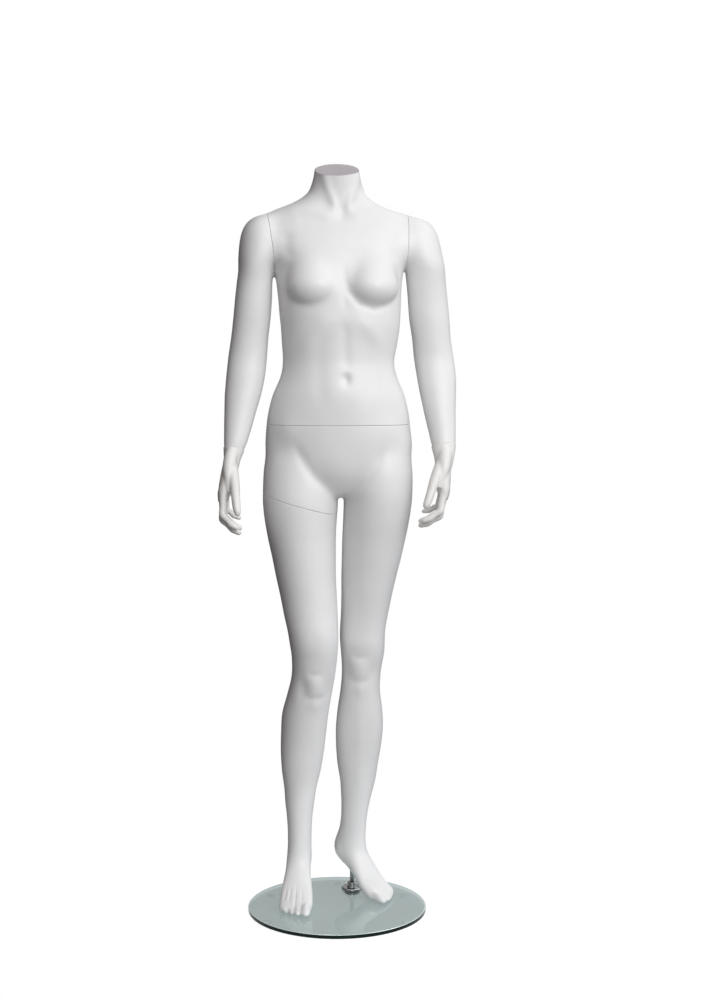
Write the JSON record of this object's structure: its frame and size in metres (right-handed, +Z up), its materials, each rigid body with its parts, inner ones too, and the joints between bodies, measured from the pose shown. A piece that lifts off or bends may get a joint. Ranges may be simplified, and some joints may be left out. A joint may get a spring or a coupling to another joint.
{
  "type": "full body mannequin",
  "caption": "Headless female display mannequin on a round glass base, with a lift-off rod mount, a removable leg, a twist-lock waist, removable arms and turning hands.",
  "frame": {"origin": "on the floor under the centre of the round glass base", "axes": "+Z up, the figure faces -Y, its right side is at -X"},
  "size_m": [0.4957, 0.38, 1.5832],
  "materials": {
    "body_white": "satin matte white paint",
    "hand_white": "satin matte white paint, slightly warmer",
    "neck_face": "satin white cap",
    "glass": "clear tempered glass with a polished green edge",
    "bumper": "clear soft rubber",
    "gasket": "black rubber",
    "nylon": "natural nylon",
    "chrome": "polished chrome",
    "steel": "zinc plated steel",
    "plywood": "bare birch plywood"
  },
  "bodies": {
    "base": {"glass_base": "glass", "base_bumpers": "bumper", "clamp_washer": "steel", "base_screw": "steel", "glass_bush": "nylon", "flange_gasket": "gasket", "base_flange": "chrome", "support_rod": "chrome"},
    "set_screw": {"rod_set_screw": "chrome"},
    "lower_body": {"hips_left_leg_shell": "body_white", "rod_socket": "steel", "ankle_block": "plywood", "hips_waist_board": "plywood", "waist_plug": "steel", "waist_plug_screws": "steel", "hips_thigh_board": "plywood", "leg_keyhole_plate": "steel", "leg_keyhole_screws": "steel"},
    "right_leg": {"right_leg_shell": "body_white", "right_leg_board": "plywood", "leg_stud_plate": "steel", "leg_stud_screws": "steel"},
    "torso": {"torso_shell": "body_white", "neck_cap": "neck_face", "torso_waist_board": "plywood", "waist_socket": "steel", "waist_socket_screws": "steel", "left_shoulder_board": "plywood", "left_shoulder_socket": "steel", "left_shoulder_screws": "steel", "right_shoulder_board": "plywood", "right_shoulder_socket": "steel", "right_shoulder_screws": "steel"},
    "left_arm": {"left_arm_shell": "body_white", "left_arm_board": "plywood", "left_arm_plug": "steel", "left_arm_screws": "steel", "left_wrist_socket": "nylon"},
    "right_arm": {"right_arm_shell": "body_white", "right_arm_board": "plywood", "right_arm_plug": "steel", "right_arm_screws": "steel", "right_wrist_socket": "nylon"},
    "left_hand": {"left_hand": "hand_white", "left_wrist_peg": "nylon"},
    "right_hand": {"right_hand": "hand_white", "right_wrist_peg": "nylon"}
  },
  "joints": [
    {"name": "lift_off_base", "type": "slide", "parent": "base", "child": "lower_body", "axis": [0, 0, 1], "range_m": [0, 0.16]},
    {"name": "set_screw_turn", "type": "hinge", "parent": "base", "child": "set_screw", "pos_m": [0.032, 0.104, 0.023], "axis": [1, 0, 0], "range_deg": [0, 360]},
    {"name": "leg_release", "type": "slide", "parent": "lower_body", "child": "right_leg", "axis": [0, -1, 0], "range_m": [0, 0.022]},
    {"name": "waist_turn", "type": "hinge", "parent": "lower_body", "child": "torso", "pos_m": [0.004, 0.012, 1.04], "axis": [0, 0, 1], "range_deg": [0, 40]},
    {"name": "left_shoulder", "type": "hinge", "parent": "torso", "child": "left_arm", "pos_m": [0.142, 0.037, 1.427], "axis": [-0.9917, -0.1218, 0.0401], "range_deg": [0, 75]},
    {"name": "right_shoulder", "type": "hinge", "parent": "torso", "child": "right_arm", "pos_m": [-0.139, 0.001, 1.421], "axis": [-0.9838, -0.1208, -0.1323], "range_deg": [0, 75]},
    {"name": "left_wrist", "type": "hinge", "parent": "left_arm", "child": "left_hand", "pos_m": [0.222, -0.008, 0.996], "axis": [0.101, -0.2588, -0.9606], "range_deg": [0, 80]},
    {"name": "right_wrist", "type": "hinge", "parent": "right_arm", "child": "right_hand", "pos_m": [-0.211, -0.045, 0.991], "axis": [0.135, 0.2419, 0.9609], "range_deg": [0, 80]}
  ]
}
